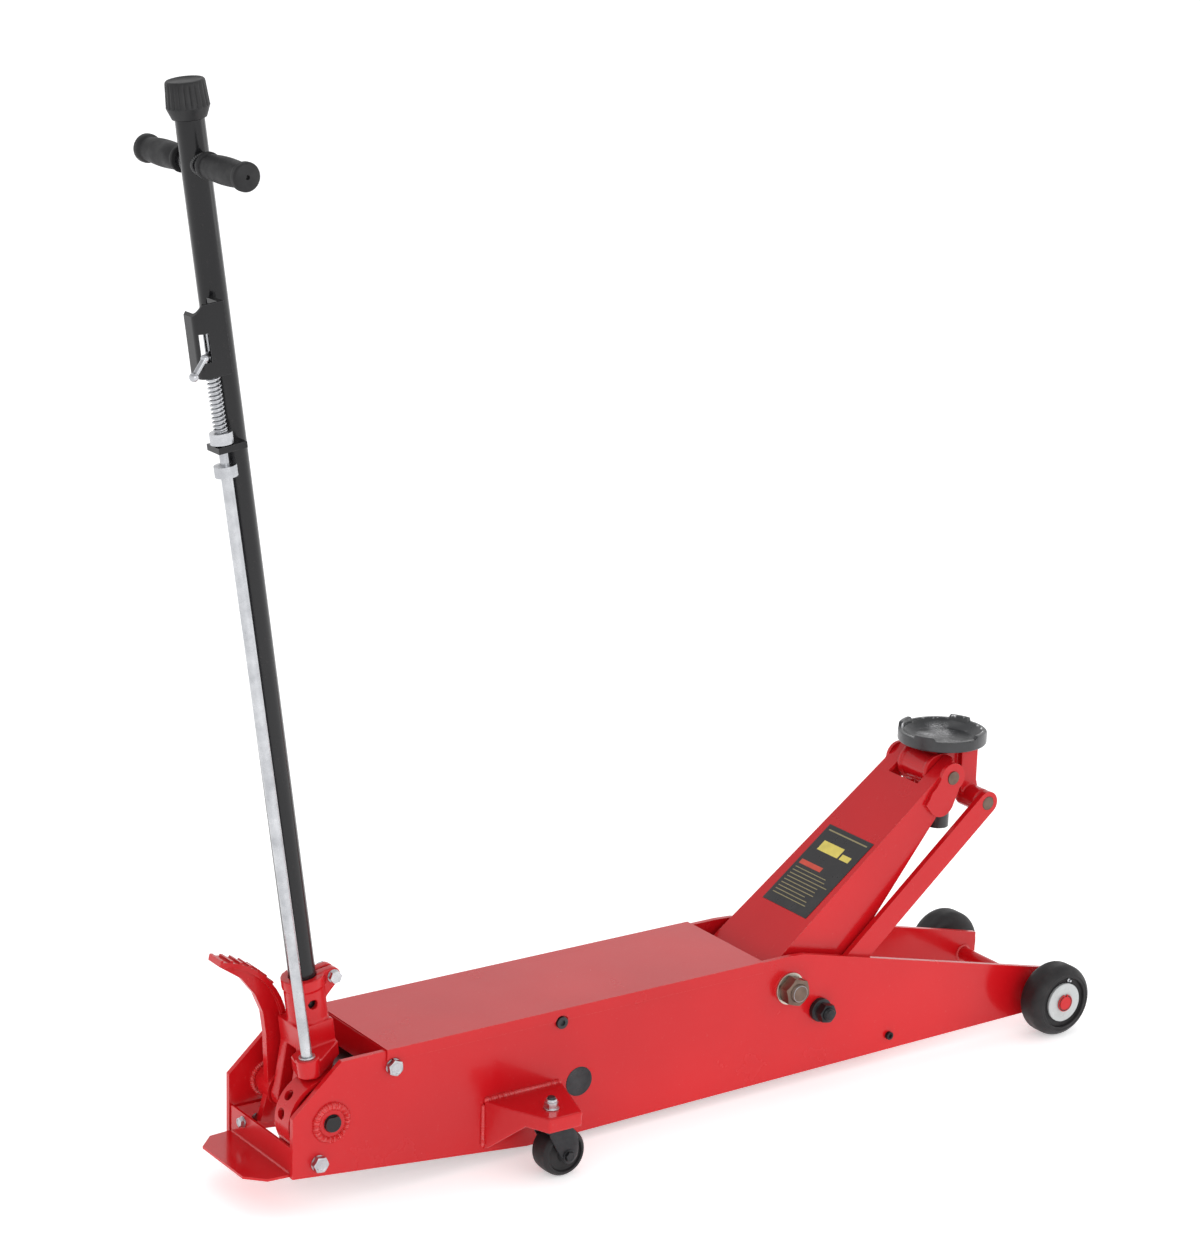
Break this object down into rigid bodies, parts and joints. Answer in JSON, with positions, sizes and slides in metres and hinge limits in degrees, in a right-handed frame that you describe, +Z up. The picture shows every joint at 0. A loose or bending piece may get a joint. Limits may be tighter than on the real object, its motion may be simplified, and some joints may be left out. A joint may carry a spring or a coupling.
{
  "type": "long-chassis hydraulic service jack",
  "caption": "Long low floor jack with red plate chassis, lifting arm with a level swivelling saddle, pump handle with lock rod, foot pedal, front wheels and swivel casters.",
  "frame": {"origin": "on the floor, under the middle of the whole jack's length and width", "axes": "+X forward to the front wheels and saddle, +Y to the left side, +Z up"},
  "size_m": [1.5972, 0.412, 1.616],
  "materials": {
    "red_paint": "gloss enamel over welded plate",
    "black_gloss": "gloss black enamel",
    "black_oxide": "black oxide, oiled",
    "worn_black": "black paint worn to metal in the dish",
    "plain_steel": "machined steel",
    "phosphated_steel": "brown-grey phosphate",
    "bright_washer": "bright plated",
    "zinc_plate": "bright zinc plate",
    "hard_chrome": "ground and hard chromed",
    "tyre_rubber": "moulded solid tyre",
    "hub_grey": "light grey moulded hub",
    "grip_rubber": "moulded grip",
    "knob_plastic": "moulded knob",
    "label_film": "printed film"
  },
  "bodies": {
    "chassis": {"side_plate_right": "red_paint", "side_plate_left": "red_paint", "top_cover": "red_paint", "rear_step": "red_paint", "cross_members": "red_paint", "caster_bracket_right": "red_paint", "caster_bracket_left": "red_paint", "front_axle": "red_paint", "yoke_bosses": "red_paint", "yoke_shaft": "black_gloss", "index_quadrant": "red_paint", "arm_pivot_shaft": "plain_steel", "arm_pivot_nuts": "phosphated_steel", "arm_pivot_washers": "bright_washer", "rod_pivot_bolts": "black_oxide", "trunnion_block": "black_oxide", "pump_block": "plain_steel", "reservoir": "plain_steel", "cylinder_barrel": "plain_steel", "hex_bolts": "zinc_plate", "socket_screws": "black_oxide", "return_springs": "zinc_plate", "pump_spring": "zinc_plate"},
    "lift_arm": {"lift_arm": "red_paint", "arm_pivot_tube": "plain_steel", "arm_crank": "red_paint", "label_plate": "label_film", "saddle_hinge_pin": "phosphated_steel"},
    "radius_rods": {"radius_rod_right": "red_paint", "radius_rod_left": "red_paint"},
    "saddle_bracket": {"saddle_bracket": "red_paint", "link_pins": "phosphated_steel"},
    "saddle": {"saddle": "worn_black", "saddle_post": "worn_black"},
    "ram": {"ram": "hard_chrome", "ram_clevis": "plain_steel"},
    "handle": {"handle_yoke": "red_paint", "handle_tube": "black_gloss", "cross_bar": "black_gloss", "handle_grips": "grip_rubber", "lock_guide": "black_gloss", "clamp_bolt": "zinc_plate", "yoke_roller": "plain_steel", "lock_spring": "zinc_plate"},
    "lock_rod": {"lock_rod": "zinc_plate", "lock_collars": "zinc_plate"},
    "release": {"release_knob": "knob_plastic", "release_rod": "plain_steel"},
    "valve_spindle": {"valve_spindle": "plain_steel"},
    "foot_pedal": {"foot_pedal": "red_paint"},
    "pump_plunger": {"pump_plunger": "hard_chrome"},
    "pedal_plunger": {"pedal_plunger": "hard_chrome"},
    "wheel_right": {"tyre_right": "tyre_rubber", "wheel_hub_right": "hub_grey"},
    "wheel_left": {"tyre_left": "tyre_rubber", "wheel_hub_left": "hub_grey"},
    "caster_right": {"caster_fork_right": "black_oxide"},
    "caster_left": {"caster_fork_left": "black_oxide"},
    "caster_wheel_right": {"caster_wheel_right": "tyre_rubber"},
    "caster_wheel_left": {"caster_wheel_left": "tyre_rubber"}
  },
  "joints": [
    {"name": "arm_lift", "type": "hinge", "parent": "chassis", "child": "lift_arm", "pos_m": [0.22311, 0, 0.167], "axis": [0, -1, 0], "range_deg": [-43.9, 10.5]},
    {"name": "rods_swing", "type": "hinge", "parent": "chassis", "child": "radius_rods", "pos_m": [0.28311, 0, 0.12], "axis": [0, -1, 0], "range_deg": [-44.5, 11]},
    {"name": "bracket_level", "type": "hinge", "parent": "lift_arm", "child": "saddle_bracket", "pos_m": [0.5571, 0, 0.44726], "axis": [0, -1, 0], "range_deg": [-11, 44.5]},
    {"name": "saddle_swivel", "type": "hinge", "parent": "saddle_bracket", "child": "saddle", "pos_m": [0.5891, 0, 0.49156], "axis": [0, 0, 1], "continuous": true},
    {"name": "ram_slide", "type": "slide", "parent": "chassis", "child": "ram", "axis": [1, 0, 0], "range_m": [-0.058, 0.0142], "deforming": ["return_springs"]},
    {"name": "handle_pump", "type": "hinge", "parent": "chassis", "child": "handle", "pos_m": [-0.59789, 0, 0.13], "axis": [0, 1, 0], "range_deg": [-55, 6]},
    {"name": "plunger_stroke", "type": "slide", "parent": "chassis", "child": "pump_plunger", "axis": [1, 0, 0], "range_m": [-0.0045, 0.04], "deforming": ["pump_spring"]},
    {"name": "lock_pull", "type": "slide", "parent": "handle", "child": "lock_rod", "axis": [-0.1266, 0.0377, 0.9912], "range_m": [0, 0.0185], "stiffness_N_per_m": 900, "springref_m": -0.02, "deforming": ["lock_spring"]},
    {"name": "release_turn", "type": "hinge", "parent": "handle", "child": "release", "pos_m": [-0.56422, 0, 0.13473], "axis": [-0.1392, 0, 0.9903], "range_deg": [0, 120]},
    {"name": "valve_turn", "type": "hinge", "parent": "chassis", "child": "valve_spindle", "pos_m": [-0.56089, 0, 0.148], "axis": [1, 0, 0], "range_deg": [0, 121]},
    {"name": "pedal_press", "type": "hinge", "parent": "chassis", "child": "foot_pedal", "pos_m": [-0.59789, 0, 0.13], "axis": [0, -1, 0], "range_deg": [0, 25], "stiffness_Nm_per_rad": 20, "springref_deg": -34.38},
    {"name": "pedal_stroke", "type": "slide", "parent": "chassis", "child": "pedal_plunger", "axis": [1, 0, 0], "range_m": [0, 0.0158]},
    {"name": "wheel_spin_right", "type": "hinge", "parent": "chassis", "child": "wheel_right", "pos_m": [0.73911, -0.142, 0.0595], "axis": [0, 1, 0], "continuous": true},
    {"name": "wheel_spin_left", "type": "hinge", "parent": "chassis", "child": "wheel_left", "pos_m": [0.73911, 0.142, 0.0595], "axis": [0, 1, 0], "continuous": true},
    {"name": "caster_swivel_right", "type": "hinge", "parent": "chassis", "child": "caster_right", "pos_m": [-0.26889, -0.172, 0.092], "axis": [0, 0, 1], "continuous": true},
    {"name": "caster_swivel_left", "type": "hinge", "parent": "chassis", "child": "caster_left", "pos_m": [-0.26889, 0.172, 0.092], "axis": [0, 0, 1], "continuous": true},
    {"name": "caster_spin_right", "type": "hinge", "parent": "caster_right", "child": "caster_wheel_right", "pos_m": [-0.25489, -0.172, 0.037], "axis": [0, 1, 0], "continuous": true},
    {"name": "caster_spin_left", "type": "hinge", "parent": "caster_left", "child": "caster_wheel_left", "pos_m": [-0.25489, 0.172, 0.037], "axis": [0, 1, 0], "continuous": true}
  ],
  "couplings": [
    {"joint": "rods_swing", "follows": "arm_lift", "ratio": 1},
    {"joint": "bracket_level", "follows": "arm_lift", "ratio": -1},
    {"joint": "ram_slide", "follows": "arm_lift", "m_per_rad": 0.075},
    {"joint": "plunger_stroke", "follows": "handle_pump", "m_per_rad": -0.0415},
    {"joint": "pedal_stroke", "follows": "pedal_press", "m_per_rad": 0.036},
    {"joint": "valve_turn", "follows": "release_turn", "ratio": 1}
  ]
}
